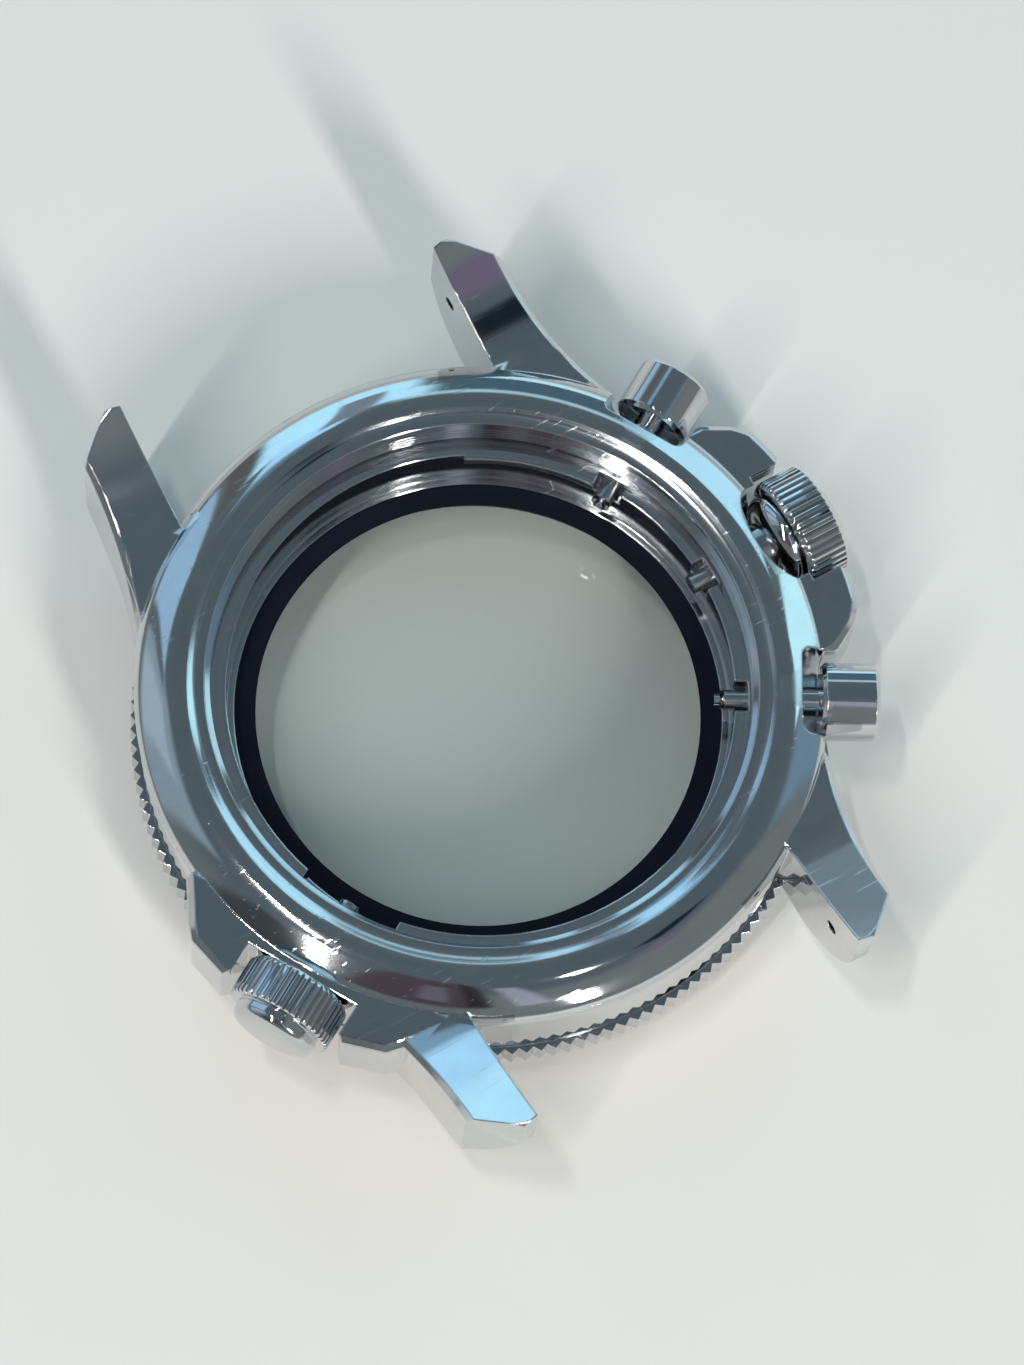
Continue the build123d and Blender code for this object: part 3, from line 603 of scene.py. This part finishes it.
def ring_mark(points, faces, start, half_width, angle):
    """Adds one raised bar that points to the axis, on the front of the insert."""
    base = len(points)
    out = (math.sin(angle), -math.cos(angle))
    across = (math.cos(angle), math.sin(angle))
    for height in (INSERT_FRONT, INSERT_FRONT - MARK_RISE):
        for reach, side in ((start, -1), (MARK_END, -1), (MARK_END, 1), (start, 1)):
            points.append((
                out[0] * reach + across[0] * side * half_width,
                out[1] * reach + across[1] * side * half_width, height,
            ))
    for face in BAR_FACES:
        faces.append(tuple(base + k for k in face))


def insert_markings(paint):
    """Minute marks, plain numbers and a triangle on the front of the bezel insert."""
    points = []
    faces = []
    for minute in range(1, 60):
        if minute % 10 == 0:
            continue
        angle = math.radians(6 * minute)
        if minute % 5 == 0:
            ring_mark(points, faces, *LONG_MARK, angle)
        elif minute < SHORT_MARKS_BEFORE:
            ring_mark(points, faces, *SHORT_MARK, angle)
    add_mesh("insert_marks", points, faces, paint, "bezel")
    points = []
    for height in (INSERT_FRONT, INSERT_FRONT - MARK_RISE):
        points += [(x, y, height) for x, y in TRIANGLE]
    faces = [(0, 1, 2), (5, 4, 3), (0, 3, 4, 1), (1, 4, 5, 2), (2, 5, 3, 0)]
    add_mesh("insert_triangle", points, faces, paint, "bezel")
    for minute in (10, 20, 30, 40, 50):
        angle = math.radians(6 * minute)
        letters = bpy.data.curves.new("insert_number_%d" % minute, "FONT")
        letters.body = str(minute)
        letters.size = NUMBER_SIZE * MM
        letters.extrude = MARK_RISE / 2 * MM
        letters.align_x = "CENTER"
        letters.align_y = "CENTER"
        letters.materials.append(paint)
        item = bpy.data.objects.new("insert_number_%d" % minute, letters)
        across = Vector((math.cos(angle), math.sin(angle), 0.0))
        out = Vector((math.sin(angle), -math.cos(angle), 0.0))
        turn = Matrix((across, out, across.cross(out))).transposed().to_4x4()
        front = Vector((0.0, 0.0, (INSERT_FRONT - MARK_RISE / 2) * MM))
        place = out * NUMBER_REACH * MM + front
        item.matrix_world = Matrix.Translation(place) @ turn
        bpy.context.scene.collection.objects.link(item)
        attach(item, "bezel")


def pale_floor():
    """Plain pale floor under the lowest point of the case."""
    low = cad_box[0][2]
    reach = 3.0
    corners = [(reach * x, reach * y, low) for x, y in ((-1, -1), (1, -1), (1, 1), (-1, 1))]
    mesh = bpy.data.meshes.new("floor")
    mesh.from_pydata(corners, [], [(0, 1, 2, 3)])
    floor = bpy.data.objects.new("floor", mesh)
    bpy.context.scene.collection.objects.link(floor)
    material = bpy.data.materials.new("floor")
    n = Nodes(material)
    inputs = {"Base Color": FLOOR, "Roughness": 0.7, "Specular IOR Level": 0.2}
    shader = n.add("ShaderNodeBsdfPrincipled", inputs)
    n.add("ShaderNodeOutputMaterial", {"Surface": shader.outputs[0]})
    mesh.materials.append(material)


def direction(azimuth, elevation):
    """Unit vector from an angle round Z, counted from plus X, and a height above the floor."""
    a = math.radians(azimuth)
    e = math.radians(elevation)
    return Vector((math.cos(e) * math.cos(a), math.cos(e) * math.sin(a), math.sin(e)))


def softbox(name, start, end, width, radiance):
    """Rectangular lamp that faces the case, long from one direction to another."""
    first = direction(*start) * LAMP_DISTANCE
    last = direction(*end) * LAMP_DISTANCE
    length = (first - last).length
    data = bpy.data.lights.new(name, "AREA")
    data.shape = "RECTANGLE"
    data.size = width
    data.size_y = length
    data.color = LAMP_COLOR
    data.energy = radiance * math.pi * width * length
    lamp = bpy.data.objects.new(name, data)
    place = (first + last) / 2
    back = place.normalized()
    up = (first - last).normalized()
    turn = Matrix((up.cross(back), up, back)).transposed().to_4x4()
    lamp.matrix_world = Matrix.Translation(place) @ turn
    bpy.context.scene.collection.objects.link(lamp)


def room_light():
    """Dim grey room with plain pale panels, and a pale rim where it meets the floor."""
    room = bpy.data.worlds.new("room")
    bpy.context.scene.world = room
    n = Nodes(room)
    look = n.separate(n.add("ShaderNodeTexCoord").outputs["Generated"])
    degree = 180.0 / math.pi
    height = n.math("MULTIPLY", n.math("ARCSINE", look["Z"]), degree)
    turn = n.math("MULTIPLY", n.math("ARCTAN2", look["Y"], look["X"]), degree)
    overhead = n.map_range(height, *ROOM_BLEND, 0.0, 1.0, smooth=True)
    color = n.mix_color(overhead, ROOM_SIDE, ROOM_TOP)
    for middle, half, low, high, soft, tint in ROOM_PANELS:
        apart = n.math("WRAP", n.math("SUBTRACT", turn, float(middle)), 180.0)
        apart.node.inputs[2].default_value = -180.0
        apart = n.math("ABSOLUTE", apart)
        across = n.map_range(apart, half - soft / 2, half + soft / 2, 1.0, 0.0, smooth=True)
        panel = n.math("MULTIPLY", across, n.fade(height, low, high, soft))
        color = n.mix_color(panel, color, tint)
    rim = n.map_range(height, *ROOM_RIM_BLEND, 0.0, 1.0, smooth=True)
    color = n.mix_color(rim, ROOM_RIM, color)
    light = n.add("ShaderNodeBackground", {"Color": color, "Strength": 1.0})
    n.add("ShaderNodeOutputWorld", {"Surface": light.outputs[0]})


def camera():
    """Camera at the photograph's place, turned as the photograph is."""
    data = bpy.data.cameras.new("camera")
    data.sensor_fit = "AUTO"
    data.sensor_width = SENSOR_MM
    data.lens = FOCAL_PIXELS * SENSOR_MM / IMAGE_HEIGHT
    data.clip_start = 0.01
    data.clip_end = 20.0
    item = bpy.data.objects.new("camera", data)
    right = Vector(CAMERA_RIGHT).normalized()
    up = -Vector(CAMERA_DOWN).normalized()
    back = right.cross(up).normalized()
    turn = Matrix((right, up, back)).transposed().to_4x4()
    item.matrix_world = Matrix.Translation(Vector(CAMERA_PLACE_MM) * MM) @ turn
    bpy.context.scene.collection.objects.link(item)
    bpy.context.scene.camera = item


bpy.context.scene.view_settings.view_transform = "Standard"

polished = steel("polished_steel", STEEL, 0.035, 0.075, 0.08, 1.0)
case_steel = steel("case_steel", STEEL, 0.045, 0.08, 0.17, 1.0, turned_inside=17.9)
turned = steel("turned_steel", STEEL_DARK, 0.14, 0.22, 0.05, 0.4)
dress(case_steel, "mid_case", limit=42)
dress(polished, "rotating_bezel", "crown_head", "valve_head", "pusher_2", "pusher_4")
dress(
    turned,
    "crown_tube", "valve_tube", "crown_stem", "valve_plunger", "pusher_2_tube", "pusher_4_tube",
)
dress(
    plain("spring_steel", (0.42, 0.43, 0.45, 1.0), 0.3, 1.0),
    "bezel_retaining_wire", "bezel_click_spring", "crown_spring", "valve_spring",
    "pusher_2_spring", "pusher_4_spring",
)
dress(
    plain("clip_steel", (0.15, 0.155, 0.165, 1.0), 0.22, 1.0),
    "pusher_2_clip", "pusher_4_clip",
)
dress(black_anodised(), "inner_ring")
dress(clear_glass(), "crystal")
dress(plain("insert_black", (0.014, 0.015, 0.018, 1.0), 0.32), "bezel_insert")
luminous = plain("luminous", (0.62, 0.72, 0.55, 1.0), 0.5)
dress(luminous, "bezel_pip")
dress(plain("seal_plastic", (0.6, 0.6, 0.57, 1.0), 0.4), "crystal_gasket")
dress(plain("rubber", (0.012, 0.012, 0.012, 1.0), 0.6), "crown_gasket", "valve_gasket")

case_back_thread(steel("thread_steel", STEEL_DARK, 0.06, 0.1, 0.05, 0.4))
head_steel = steel("head_steel", STEEL, 0.05, 0.11, 0.03, 0.6)
crown_detail(head_steel)
valve_detail(head_steel)
insert_markings(plain("insert_paint", (0.74, 0.75, 0.70, 1.0), 0.45))
pale_floor()
room_light()
camera()
softbox("strip_side", (-174, 71), (-158, 39), 0.016, 90.0)
softbox("strip_low", (-93, 43), (-93, 27), 0.07, 72.0)
softbox("strip_top", (137, 76), (172, 76), 0.016, 170.0)
softbox("spot_top", (-74, 74), (-74, 72), 0.03, 40.0)
